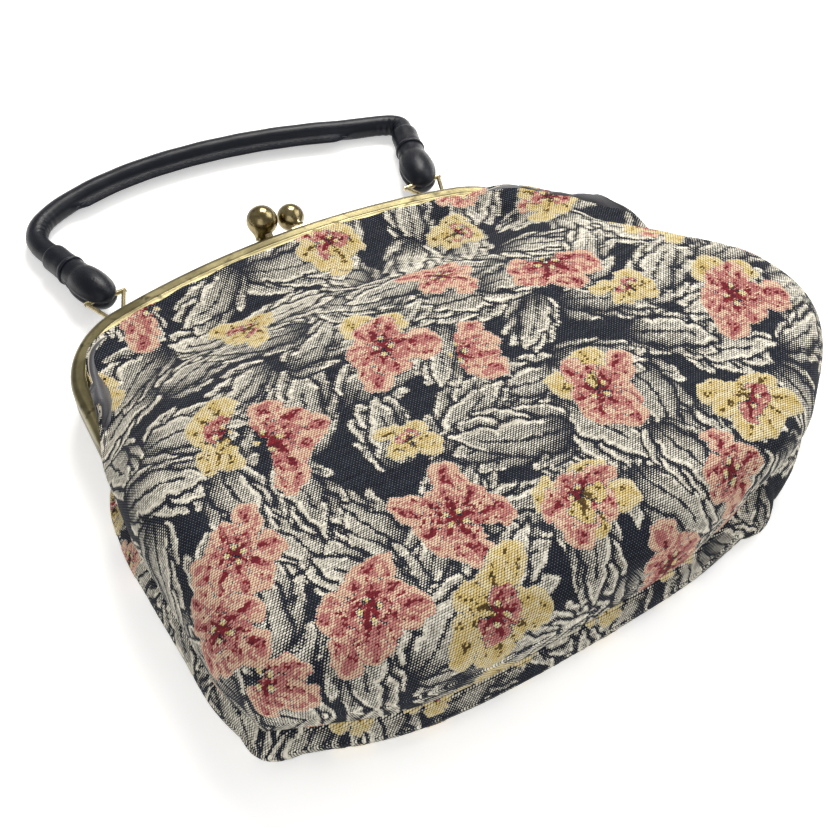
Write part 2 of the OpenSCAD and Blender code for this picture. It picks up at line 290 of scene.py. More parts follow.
def ring_faces(rings, sides, closed_ends=True):
    faces = []
    for i in range(rings - 1):
        for k in range(sides):
            n = (k + 1) % sides
            faces.append((i * sides + k, i * sides + n, (i + 1) * sides + n, (i + 1) * sides + k))
    if closed_ends:
        faces.append(tuple(range(sides - 1, -1, -1)))
        faces.append(tuple(range((rings - 1) * sides, rings * sides)))
    return faces


def face_outward(made):
    """Turns a closed mesh's faces outwards."""
    work = bmesh.new()
    work.from_mesh(made.data)
    bmesh.ops.remove_doubles(work, verts=work.verts, dist=1e-7)
    bmesh.ops.recalc_face_normals(work, faces=work.faces)
    work.to_mesh(made.data)
    work.free()


def channel_profile(width):
    """The strip's cross-section: (inset, height over the meeting plane), outside first."""
    roll = min(2.4, width * 0.45)
    top = half_t
    outline = [(0.0, half_gap), (0.0, 0.9), (0.12, 1.5), (0.0, 2.1), (0.0, top - roll)]
    for k in range(1, 9):
        a = math.pi / 2 * k / 8
        outline.append((roll * (1 - math.cos(a)), top - roll + roll * math.sin(a) - 0.12 * math.sin(a)))
    bead = (width + roll) / 2
    step = min(0.5, width * 0.08)
    outline += [(bead - 1.6 * step, top - 0.14), (bead - step, top - 0.1), (bead - 0.5 * step, top + 0.0),
                (bead, top), (bead + 0.5 * step, top - 0.02), (bead + step, top - 0.16)]
    outline += [(width - 0.9, top - 0.2), (width - 0.35, top - 0.28), (width - 0.05, top - 0.55),
                (width, top - 0.85), (width - 0.2, top - 1.0)]
    outline += [(wall, top - 1.0), (wall, half_gap + 0.9), (width - 1.0, half_gap + 0.9),
                (width - 1.0, half_gap)]
    return outline


def frame_half(name, side, finish):
    """Sweeps the channel along the arch, on one side of the meeting plane."""
    count = 260
    line = arch_line(0.0, count)
    slope = np.gradient(line, axis=0)
    inward = np.stack([slope[:, 1], -slope[:, 0]], 1)
    inward /= np.linalg.norm(inward, axis=1)[:, None]
    points = []
    for (x, y), (nx, ny) in zip(line, inward):
        down = min(1.0, max(0.0, -y / leg_len))
        width = face_w + (foot_w - face_w) * down
        for inset, height in channel_profile(width):
            points.append((x + nx * inset, y + ny * inset, mid_z + side * height))
    made = mesh_from(name, points, ring_faces(count, len(channel_profile(face_w))), finish)
    face_outward(made)
    return made


brass_finish, shade, bsdf = new_finish("aged_frame_brass")
place = shade.node("ShaderNodeTexCoord", output="Object")
cloudy = place.noise(70.0, 5.0, 0.6)
scuffs = place.noise(900.0, 4.0, 0.7)
rub = place.noise(260.0, 2.0)
patina = cloudy.ease(0.35, 0.7)
olive = patina.mix(rgba(0.125, 0.108, 0.056), rgba(0.26, 0.228, 0.122))
tarnish = rub.ease(0.56, 0.75)
metal_colour = tarnish.mix(olive, rgba(0.07, 0.06, 0.035))
surface(shade, bsdf, scuffs + rub * 0.6, 0.02 * mm, Base_Color=metal_colour, Metallic=1.0,
        Roughness=0.24 + cloudy * 0.16 + scuffs.ease(0.5, 0.8) * 0.12)

front_half_frame = frame_half("frame_front_half", 1, brass_finish)
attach(front_half_frame, "front_half")
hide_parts("front_frame")
back_half_frame = frame_half("frame_back_half", -1, brass_finish)
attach(back_half_frame, "bag")
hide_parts("back_frame")


def hinge_lug(name, x0, x1, side):
    """A round ear on a half's leg, with a short neck that runs up into the channel."""
    radius = 4.2
    outline = []
    for a in np.linspace(math.radians(-90), math.radians(90), 21):
        outline.append((-leg_len - radius * math.cos(a), mid_z + radius * math.sin(a)))
    outline.append((-leg_len + 5.5, mid_z + (radius if side > 0 else -0.3)))
    outline.append((-leg_len + 5.5, mid_z + (0.3 if side > 0 else -radius)))
    points = [(x, y, z) for x in (x0, x1) for y, z in outline]
    made = mesh_from(name, points, ring_faces(2, len(outline)), brass_finish, smooth=False)
    face_outward(made)
    trim = made.modifiers.new("worn_edges", "BEVEL")
    trim.width = 0.25 * mm
    trim.segments = 3
    return made


lug_t = 1.3
outer_lug_x = frame_w / 2 - lug_t
inner_lug_x = frame_w / 2 - 2 * lug_t - 0.4
for side_name, sign in (("left", -1), ("right", 1)):
    outer = hinge_lug(f"{side_name}_front_lug", sign * outer_lug_x, sign * (outer_lug_x + lug_t), 1)
    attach(outer, "front_half")
    inner = hinge_lug(f"{side_name}_back_lug", sign * inner_lug_x, sign * (inner_lug_x + lug_t), -1)
    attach(inner, "bag")


# --- Hinge rivets, handle eyes and wire bails ---------------------------------------------
# Small brass parts: a flush rivet in each hinge, an eye soldered to the back half's rim for
# each end of the handle, and a bent wire bail in each eye. They keep the CAD shapes.
def clone_finish(name, colours, rough, fine, tarnish_at=0.6):
    """Bare brass or bronze: two tones, a dark tarnish in patches and a fine drawn grain."""
    material, shade, bsdf = new_finish(name)
    place = shade.node("ShaderNodeTexCoord", output="Object")
    cloudy = place.noise(300.0, 4.0, 0.6)
    drawn = place.noise(fine, 3.0, 0.7)
    body = cloudy.ease(0.35, 0.65).mix(colours[0], colours[1])
    spots = place.noise(520.0, 3.0).ease(tarnish_at, tarnish_at + 0.14)
    surface(shade, bsdf, drawn, 0.015 * mm, Base_Color=spots.mix(body, colours[2]), Metallic=1.0,
            Roughness=rough + drawn * 0.14)
    return material


wire_brass = clone_finish("drawn_wire_brass",
                          (rgba(0.36, 0.30, 0.16), rgba(0.52, 0.44, 0.26), rgba(0.12, 0.10, 0.06)),
                          0.2, 2600.0)
rivet_brass = clone_finish("rivet_brass", (rgba(0.30, 0.26, 0.13), rgba(0.44, 0.38, 0.21),
                                           rgba(0.10, 0.08, 0.05)), 0.28, 1800.0)


def dress(nodes, finish):
    """Gives carried-over CAD parts their finish."""
    for name in nodes:
        part = frame["nodes"][name]
        if part.material_slots:
            for holder in part.material_slots:
                holder.material = finish
        else:
            part.data.materials.append(finish)


dress(("left_hinge_rivet", "right_hinge_rivet", "back_clasp_rivets", "front_clasp_rivets"), rivet_brass)
dress(("left_handle_eye", "right_handle_eye", "left_wire_loop", "right_wire_loop"), wire_brass)


# --- Ball clasp ---------------------------------------------------------------------------
# Two hollow balls of dark antique bronze on sprung arms riveted to the rims. Each ball runs
# down into a short neck. The arms keep the CAD shapes.
ball_bronze = clone_finish("antique_ball_bronze",
                           (rgba(0.16, 0.125, 0.06), rgba(0.30, 0.245, 0.125), rgba(0.05, 0.04, 0.025)),
                           0.14, 1400.0)
dress(("back_clasp_arm", "front_clasp_arm"), wire_brass)


def spun(name, outline, start, direction, finish, sides=64, squash=None):
    """A turned piece: outline is (distance along the axis, radius), closed on the axis at both ends."""
    axis = Vector(direction).normalized()
    side = axis.orthogonal().normalized() if squash is None else Vector(squash)
    side = (side - axis * side.dot(axis)).normalized()
    up = axis.cross(side)
    points = []
    for along, radius in outline:
        for k in range(sides):
            a = 2 * math.pi * k / sides
            points.append(tuple(Vector(start) + axis * along
                                + (side * math.cos(a) + up * math.sin(a)) * radius))
    made = mesh_from(name, points, ring_faces(len(outline), sides), finish)
    face_outward(made)
    return made


def node_middle(name):
    """The middle of a CAD node's box, in millimetres on the bag's own axes."""
    low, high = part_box(name)
    middle = (low + high) / 2
    return Vector(((middle.x - centre_x) / mm, (middle.y - shoulder_y) / mm, middle.z / mm))


def ball_outline(radius, neck_len, neck_r):
    outline = [(-radius * math.cos(a), max(0.02, radius * math.sin(a)))
               for a in np.linspace(0, math.radians(138), 30)]
    x0, r0 = outline[-1]
    for k in range(1, 9):
        t = k / 8
        outline.append((x0 + (neck_len - x0) * t, r0 + (neck_r - r0) * math.sin(math.pi / 2 * t)))
    outline.append((neck_len + 0.2, neck_r * 0.96))
    outline.append((neck_len + 0.3, 0.02))
    return outline


for half, body, radius, lean in (("back", "bag", 5.7, (-0.42, -0.62, -0.6)),
                                 ("front", "front_half", 5.1, (0.1, -1, 0.15))):
    ball = spun(f"{half}_ball", ball_outline(radius, radius + 1.6, 1.7), node_middle(f"{half}_clasp_knob"),
                lean, ball_bronze)
    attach(ball, body)
    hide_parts(f"{half}_clasp_knob")


# --- Handle pods and sleeves --------------------------------------------------------------
# Each end of the handle is a moulded leather pod, closed round the bail's pin like a clam,
# with a collar and a plain sleeve that runs up to the bend. All are glazed navy-black calf.
def leather(name, tint, crease):
    material, shade, bsdf = new_finish(name)
    place = shade.node("ShaderNodeTexCoord", output="Object")
    pores = shade.node("ShaderNodeTexVoronoi", {"feature": "DISTANCE_TO_EDGE"},
                       {"Vector": place, "Scale": 1500.0})
    cloudy = place.noise(120.0, 4.0, 0.6)
    wrinkle = place.noise(380.0, 5.0, 0.62)
    worn = cloudy.ease(0.52, 0.78)
    colour = worn.mix(rgba(*tint), rgba(tint[0] * 2.2, tint[1] * 2.1, tint[2] * 1.9))
    surface(shade, bsdf, pores.ease(0.0, 0.12) * 0.3 + wrinkle * crease, 0.06 * mm, Base_Color=colour,
            Roughness=0.24 + wrinkle * 0.14 + worn * 0.08, Specular_IOR_Level=0.24)
    return material


navy_leather = leather("glazed_navy_leather", (0.0035, 0.0048, 0.0095), 1.0)
roll_r = 4.2
pod_r = 6.6
pod_half = 12.0
pod_shift = 8.5
sleeve_len = 12.0
groove_end = 18.5
leg_yaw = math.radians(16)
leg_tilt = math.radians(5)
for side_name, sign, body in (("left", -1, "handle"), ("right", 1, "handle")):
    direction = Vector((sign * math.sin(leg_yaw) * math.cos(leg_tilt),
                        math.cos(leg_yaw) * math.cos(leg_tilt), -math.sin(leg_tilt)))
    if side_name == "left":
        pin = Vector(joints["handle_swing"]["pos_m"])
        left_pin = Vector(((pin.x - centre_x) / mm, (pin.y - shoulder_y) / mm, pin.z / mm))
    start = Vector((sign * abs(left_pin.x), left_pin.y, left_pin.z))
    sides = 96
    outline = []
    for k in range(33):
        a = math.radians(-90 + 125 * k / 32)
        outline.append((pod_shift + pod_half * 0.98 * math.sin(a),
                        pod_r * math.cos(a) ** 0.82 if k else 0.02))
    neck_at, neck_r = outline[-1]
    neck = roll_r + 1.1
    for k in range(1, 7):
        t = k / 6
        outline.append((neck_at + (pod_shift + pod_half - neck_at) * t,
                        neck_r + (neck - neck_r) * math.sin(math.pi / 2 * t)))
    pod = spun(f"{side_name}_pod", outline + [(pod_shift + pod_half + 0.1, 0.02)], start, direction,
               navy_leather, sides, squash=(1, 0, 0))
    axis = np.array(direction)
    flat_side = np.array(direction.cross(Vector((0, 0, 1))).normalized())
    lift = np.cross(flat_side, axis)
    points = np.array([v.co for v in pod.data.vertices])
    from_pin = (points - np.array(at(*start))) / mm
    across = from_pin @ flat_side
    over = from_pin @ lift
    along = from_pin @ axis
    around = np.hypot(across, over)
    near_part = np.exp(-((over / 0.55) ** 2)) * np.clip((groove_end - along) / 2, 0, 1) * (around > 1.0)
    lips = (np.exp(-(((np.abs(over) - 1.3) / 0.6) ** 2))
            * np.clip((groove_end - along) / 2, 0, 1) * (around > 1.0))
    grow = 1 + (-0.75 * near_part + 0.28 * lips) / np.maximum(around, 1.0)
    points = np.array(at(*start)) + (np.outer(along, axis) + np.outer(across * grow, flat_side)
                                     + np.outer(over * grow, lift)) * mm
    pod.data.vertices.foreach_set("co", points.ravel())
    pod.data.update()
    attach(pod, body)
    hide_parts(f"{side_name}_handle_pod")
    first = pod_shift + pod_half + 0.15
    wall_r = roll_r + 1.05
    sleeve_line = [(first, 0.02), (first, wall_r + 0.1), (first + 0.25, wall_r + 0.42),
                   (first + 0.8, wall_r + 0.55),
                   (first + 1.35, wall_r + 0.42), (first + 1.6, wall_r + 0.05)]
    for k in range(1, 13):
        t = k / 12
        sleeve_line.append((first + 1.6 + (sleeve_len - 2.4) * t,
                            wall_r + 0.1 * math.sin(9 * t) * (1 - t)))
    sleeve_line += [(first + sleeve_len - 0.3, wall_r - 0.15), (first + sleeve_len, wall_r - 0.5),
                    (first + sleeve_len, 0.02)]
    sleeve = spun(f"{side_name}_sleeve", sleeve_line, start, direction, navy_leather, 72)
    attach(sleeve, body)
    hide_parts(f"{side_name}_handle_sleeve")


# --- Rolled handle ------------------------------------------------------------------------
# One strip of the same leather rolled round a cotton core and closed by a stitched flange on
# its inner side, which dies out before the bends. A row of waxed thread runs along it.
handle_line = [
    (-68.4, 64.7, 7.2), (-71.1, 74.2, 6.3), (-73.3, 81.8, 5.6), (-75.3, 89, 4.9),
    (-74.9, 95.2, 4.4), (-70.5, 101.5, 4.4), (-60, 107, 4.4), (-44, 111.2, 4.4),
    (-25, 112.8, 4.4), (-4, 111.6, 4.4), (18, 107.8, 4.4), (38, 102.2, 4.4),
    (55, 96, 4.4), (68.6, 91.6, 4.4), (74.1, 87.2, 4.9), (73.3, 81.8, 5.6),
    (71.1, 74.2, 6.3), (68.4, 64.7, 7.2),
]


def smooth_line(points, count):
    """A smooth curve through points, as evenly spaced points."""
    p = np.asarray(points, float)
    p = np.vstack([2 * p[0] - p[1], p, 2 * p[-1] - p[-2]])
    line = []
    for i in range(1, len(p) - 2):
        for t in np.arange(24) / 24:
            bend = 2 * p[i - 1] - 5 * p[i] + 4 * p[i + 1] - p[i + 2]
            line.append(p[i] + 0.5 * t * (p[i + 1] - p[i - 1] + t
                                          * (bend + t * (3 * (p[i] - p[i + 1]) + p[i + 2] - p[i - 1]))))
    line.append(p[-2])
    return resample(line, count)


def ease(x):
    x = np.clip(x, 0, 1)
    return x * x * (3 - 2 * x)


roll_count = 420
roll_line = smooth_line(handle_line, roll_count)
roll_dir = np.gradient(roll_line, axis=0)
roll_dir /= np.linalg.norm(roll_dir, axis=1)[:, None]
roll_side = np.cross([0, 0, 1], roll_dir)
roll_side /= np.linalg.norm(roll_side, axis=1)[:, None]
roll_up = np.cross(roll_dir, roll_side)
roll_at = np.linspace(0, 1, roll_count)
flange_share = ease((roll_at - 0.235) / 0.04) * ease((0.80 - roll_at) / 0.04)
flange_w = 3.0
roll_sides = 72
around = np.linspace(0, 2 * math.pi, roll_sides, endpoint=False)
rng = np.random.default_rng(7)
bend_share = np.exp(-((roll_at - 0.16) / 0.035) ** 2) + np.exp(-((roll_at - 0.885) / 0.035) ** 2)
roll_points = []
for i in range(roll_count):
    inner = np.clip(-np.cos(around), 0, 1)
    creases = 0.22 * bend_share[i] * inner * math.sin(i * 1.15) + 0.05 * math.sin(i * 0.21)
    radius = roll_r - 0.15 + creases
    lobe = flange_share[i] * flange_w * inner**10
    groove = 0.42 * flange_share[i] * np.exp(-(((np.abs(np.sin(around)) - 0.52)
                                                / 0.10) ** 2)) * (np.cos(around) < 0)
    across = (radius - groove) * np.cos(around) - lobe
    over = (radius - groove) * np.sin(around) * (1 - 0.35 * flange_share[i] * inner**8)
    ring = roll_line[i] + np.outer(across, roll_side[i]) + np.outer(over, roll_up[i])
    roll_points.extend(map(tuple, ring))
roll = mesh_from("handle_roll", roll_points, ring_faces(roll_count, roll_sides), navy_leather)
face_outward(roll)
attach(roll, "handle")
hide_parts("handle_cover")


def stitch_tree(finish):
    """Nodes that lay a thread stitch at even steps along a line of edges."""
    tree = bpy.data.node_groups.new("stitches", "GeometryNodeTree")
    sockets = tree.interface
    sockets.new_socket("Line", in_out="INPUT", socket_type="NodeSocketGeometry")
    for name, value in (("Pitch", 0.003), ("Length", 0.0022), ("Thread radius", 0.0002)):
        made = sockets.new_socket(name, in_out="INPUT", socket_type="NodeSocketFloat")
        made.default_value = value
    sockets.new_socket("Stitches", in_out="OUTPUT", socket_type="NodeSocketGeometry")
    add = tree.nodes.new
    link = tree.links.new
    given, result = add("NodeGroupInput"), add("NodeGroupOutput")
    to_curve = add("GeometryNodeMeshToCurve")
    even = add("GeometryNodeResampleCurve")
    spots = add("GeometryNodeCurveToPoints")
    even.mode = "LENGTH"
    spots.mode = "EVALUATED"
    thread, lay = add("GeometryNodeMeshUVSphere"), add("GeometryNodeInstanceOnPoints")
    thread.inputs["Segments"].default_value = 8
    thread.inputs["Rings"].default_value = 6
    thread.inputs["Radius"].default_value = 1.0
    size = add("ShaderNodeCombineXYZ")
    half = add("ShaderNodeMath")
    real = add("GeometryNodeRealizeInstances")
    paint = add("GeometryNodeSetMaterial")
    half.operation = "MULTIPLY"
    half.inputs[1].default_value = 0.5
    smooth = add("GeometryNodeSetShadeSmooth")
    paint.inputs["Material"].default_value = finish
    link(given.outputs["Line"], to_curve.inputs[0])
    link(to_curve.outputs[0], even.inputs["Curve"])
    link(given.outputs["Pitch"], even.inputs["Length"])
    link(even.outputs[0], spots.inputs[0])
    link(given.outputs["Length"], half.inputs[0])
    link(half.outputs[0], size.inputs["Z"])
    link(given.outputs["Thread radius"], size.inputs["X"])
    link(given.outputs["Thread radius"], size.inputs["Y"])
    link(spots.outputs["Points"], lay.inputs["Points"])
    link(spots.outputs["Rotation"], lay.inputs["Rotation"])
    link(thread.outputs[0], lay.inputs["Instance"])
    link(size.outputs[0], lay.inputs["Scale"])
    link(lay.outputs[0], real.inputs[0])
    link(real.outputs[0], smooth.inputs[0])
    link(smooth.outputs[0], paint.inputs[0])
    link(paint.outputs[0], result.inputs[0])
    return tree


def lay_stitches(name, line, tree, pitch, length, radius):
    """Sews along a line of points in millimetres and returns the stitches as one mesh."""
    data = bpy.data.meshes.new(name + "_line")
    data.from_pydata([at(*p) for p in line], [(k, k + 1) for k in range(len(line) - 1)], [])
    guide = add_object(name + "_guide", data)
    sew = guide.modifiers.new("sew", "NODES")
    sew.node_group = tree
    for socket in tree.interface.items_tree:
        value = {"Pitch": pitch * mm, "Length": length * mm, "Thread radius": radius * mm}.get(socket.name)
        if value is not None and socket.in_out == "INPUT":
            sew[socket.identifier] = value
    bpy.context.view_layer.update()
    evaluated = guide.evaluated_get(bpy.context.evaluated_depsgraph_get())
    made = bpy.data.meshes.new_from_object(evaluated)
    made.name = name
    bpy.data.objects.remove(guide)
    return add_object(name, made)


def thread_finish(name, tint):
    material, shade, bsdf = new_finish(name)
    place = shade.node("ShaderNodeTexCoord", output="Object")
    ply = shade.node("ShaderNodeTexWave", {"bands_direction": "DIAGONAL"},
                     {"Vector": place, "Scale": 900.0, "Distortion": 1.0})
    dark = rgba(tint[0] * 0.55, tint[1] * 0.55, tint[2] * 0.55)
    surface(shade, bsdf, ply, 0.05 * mm, Base_Color=ply.mix(dark, rgba(*tint)), Roughness=0.6 + ply * 0.15)
    return material


handle_thread = thread_finish("waxed_navy_thread", (0.018, 0.022, 0.034))
sewing = stitch_tree(handle_thread)
sewn = (roll_at > 0.25) & (roll_at < 0.785)
stitch_line = (roll_line - roll_side * (roll_r + 1.15) + roll_up * 0.95)[sewn]
handle_stitches = lay_stitches("handle_stitches", stitch_line, sewing, 2.6, 1.9, 0.22)
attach(handle_stitches, "handle")

core_finish, shade, bsdf = new_finish("twisted_cotton_core")
place = shade.node("ShaderNodeTexCoord", output="Object")
strands = shade.node("ShaderNodeTexWave", {"bands_direction": "DIAGONAL"},
                     {"Vector": place, "Scale": 260.0, "Distortion": 3.0})
surface(shade, bsdf, strands, 0.2 * mm,
        Base_Color=strands.mix(rgba(0.42, 0.36, 0.26), rgba(0.66, 0.6, 0.48)), Roughness=0.9)
dress(("handle_core",), core_finish)


# --- Tapestry cloth -----------------------------------------------------------------------
# The bag is sewn from jacquard tapestry: cream, rose and gold threads float over a dark navy
# ground to draw flowers among curling grey leaves. Each panel is drawn on its flat cloth in
# millimetres, woven thread by thread in the finish, and raised a little where it is woven.
class Cloth:
    """What is woven at each point of a panel: cream, rose, gold and dark threads, 0 to 1."""

    def __init__(self, u, v):
        u, v = u.ravel(), v.ravel()
        self.u = u + 0.26 * np.sin(v / 0.9 + np.sin(u / 1.3)) + 0.8 * np.sin(u / 6.1 + v / 4.3)
        self.v = v + 0.26 * np.sin(u / 0.8 + np.sin(v / 1.1)) + 0.8 * np.sin(v / 5.3 - u / 5.7)
        self.threads = np.zeros((self.u.size, 4))

    def blade(self, u, v, turn, length, width, bend, weave, gap=0.9, round_tip=1.0, teeth=0):
        """Weaves a leaf or petal over what is there, with a line of bare ground round it."""
        du, dv = self.u - u, self.v - v
        near = np.flatnonzero(du * du + dv * dv < (1.25 * length + 3) ** 2)
        if not near.size:
            return
        du, dv = du[near], dv[near]
        along = du * math.cos(turn) + dv * math.sin(turn)
        across = dv * math.cos(turn) - du * math.sin(turn)
        across = across - bend * along * along / length
        share = np.clip(along / length, 0, 1)
        half = width * np.sin(math.pi * share**0.72) ** 0.8 if round_tip == 0 else \
            width * np.sqrt(np.clip(1 - (2 * share**round_tip - 1) ** 2, 0, 1))
        if teeth:
            lobes = np.abs(np.sin(math.pi * teeth * share + (across > 0) * 0.9))
            half = half * (0.72 + 0.34 * lobes**0.7)
        outside = np.maximum(np.maximum(-along, along - length), 0)
        edge = np.abs(across) - half
        edge = np.where(outside > 0, np.hypot(outside, np.abs(across)), edge)
        clear = np.clip(0.5 - (edge - gap) / 0.5, 0, 1)[:, None]
        inside = np.clip(0.5 - edge / 0.6, 0, 1)[:, None]
        there = self.threads[near]
        there = there * (1 - clear)
        there = there * (1 - inside) + weave(along, across, share, edge, half) * inside
        self.threads[near] = there


def leaf_weave(tone, lit_side):
    """Grey that fades to dark at the leaf's foot, in broad bands, with one bright edge."""
    def weave(along, across, share, edge, half):
        off_middle = across / np.maximum(half, 0.5)
        bands = 0.5 + 0.5 * np.cos(off_middle * 4.2 + lit_side * (0.6 + 1.2 * share))
        body = tone * (0.62 + 0.44 * bands) * (0.20 + 0.84 * ease(share * 2.4))
        body = body * np.where(off_middle * lit_side > 0, 1.10, 0.70)
        lit_rim = (edge > -1.0) & (off_middle * lit_side > 0) & (share > 0.2)
        tip_rim = (edge > -0.9) & (share > 0.72)
        rib = (np.abs(across) < 0.5) & (share < 0.75)
        cream = np.where(lit_rim, 0.92, np.where(tip_rim, 0.85,
                                                 np.where(rib, 0.02, np.clip(body, 0, 0.8))))
        none = np.zeros_like(cream)
        return np.stack([cream, none, none, none], 1)
    return weave


def petal_weave(colour, depth, pale=1.0):
    """A petal's own thread, dark strokes from its foot and a pale, broken lip."""
    def weave(along, across, share, edge, half):
        off_middle = across / np.maximum(half, 0.6)
        strokes = 0.5 + 0.5 * np.cos(off_middle * 6.2 + 2.2 * share)
        dark = depth * (1.45 * (1 - share) ** 1.1 + 1.35 * strokes**2 * (1 - 0.6 * share) - 0.30)
        dark = np.where((edge > -0.8) & (share > 0.3), 0.0, dark)
        lip = ease((edge + 3.4) / 2.8) * ease((share - 0.2) / 0.35)
        cream = pale * np.clip(1.15 * lip + 0.75 * (1 - strokes) ** 2 * ease(share * 1.4), 0, 1)
        rose = np.full_like(share, 1.0 if colour == "r" else 0.0)
        return np.stack([cream, rose, 1.0 - rose, np.clip(dark, 0, 1)], 1)
    return weave


def weave_flower(cloth, u, v, radius, turn, petals, depth=0.75, spread=360.0, heart="d"):
    """A flower head: petals is one letter for each petal of the outer ring, r rose or g gold."""
    count = len(petals)
    turn = math.radians(turn)
    spread = math.radians(spread)
    whole = spread > 6
    for ring, (reach, wide) in enumerate(((1.06, 0.40), (0.80, 0.33), (0.50, 0.26))):
        for k, colour in enumerate(petals):
            share = (k + 0.5 * ring) / count if whole else ((k + 0.4 * ring) / max(1, count - 1) - 0.5)
            if colour == "-" or (not whole and ring and k == count - 1):
                continue
            a = turn + spread * share + 0.22 * math.sin(5.1 * k + 2.3 * ring + radius)
            length = radius * reach * (1 + 0.20 * math.sin(2.7 * k + radius + 1.9 * ring))
            tint = heart if ring == 1 and heart in "rg" else colour
            if ring == 2:
                tint = "r" if (k + int(radius)) % 3 else colour
            cloth.blade(u, v, a, length, radius * wide, 0.30 * math.sin(k * 1.9 + turn + ring),
                        petal_weave(tint, depth * (0.75, 1.0, 1.35)[ring], (1.0, 0.9, 0.45)[ring]),
                        gap=0.35,
                        round_tip=1.7, teeth=2 + (k + ring) % 2)
    for k in range(4):
        a = turn + 2 * math.pi * k / 4
        near_heart = 0.13 * radius
        cloth.blade(u + near_heart * math.cos(a), v + near_heart * math.sin(a), a, 1.9, 0.8, 0.0,
                    petal_weave("g", 0.1), gap=0.3, round_tip=1.0)


def weave_spray(cloth, u, v, turn, length, bend, tone, side):
    """One curling leaf with side lobes that grow out of its rib, each over the last."""
    width = length * 0.21
    for start, way, share in ((0.05, 1.05, 0.50), (0.10, -1.0, 0.46), (0.30, 0.85, 0.56),
                              (0.36, -0.8, 0.52),
                              (0.56, 0.6, 0.44), (0.60, -0.6, 0.42)):
        along = start * length
        across = bend * along * along / length
        foot_u = u + along * math.cos(turn) - across * math.sin(turn)
        foot_v = v + along * math.sin(turn) + across * math.cos(turn)
        heading = turn + math.atan(2 * bend * start) + way
        cloth.blade(foot_u, foot_v, heading, length * share, width * 0.70, -0.32 * way,
                    leaf_weave(tone * 0.94, side), gap=1.3, round_tip=0)
    cloth.blade(u, v, turn, length, width * 0.86, bend, leaf_weave(tone, side), gap=1.5, round_tip=0,
                teeth=3)


def weave_leaves(cloth, seed, pitch_u=25.0, pitch_v=20.0):
    """Curling leaves laid over the whole cloth in a staggered order, each over the last."""
    rng = np.random.default_rng(seed)
    u0, u1, v0, v1 = cloth.u.min(), cloth.u.max(), cloth.v.min(), cloth.v.max()
    spots = []
    row = 0
    for v in np.arange(v0 - pitch_v, v1 + pitch_v, pitch_v):
        for u in np.arange(u0 - pitch_u, u1 + pitch_u, pitch_u):
            spots.append((u + (0.5 * pitch_u if row % 2 else 0) + rng.uniform(-4, 4),
                          v + rng.uniform(-4, 4)))
        row += 1
    for k in rng.permutation(len(spots)):
        u, v = spots[k]
        flow = 0.9 * math.sin(u / 31.0) + 1.1 * math.cos(v / 27.0 + u / 60.0)
        turn = flow + rng.choice([0.0, 0.5, -0.6, math.pi, 2.4])
        length = rng.uniform(25, 36)
        start_u = u - 0.45 * length * math.cos(turn)
        start_v = v - 0.45 * length * math.sin(turn)
        weave_spray(cloth, start_u, start_v, turn, length, rng.uniform(-0.4, 0.4), rng.uniform(0.42, 0.70),
                    rng.choice([-1, 1]))


thread_pitch = 0.68
float_len = 0.98
cloth_scale = 300.0


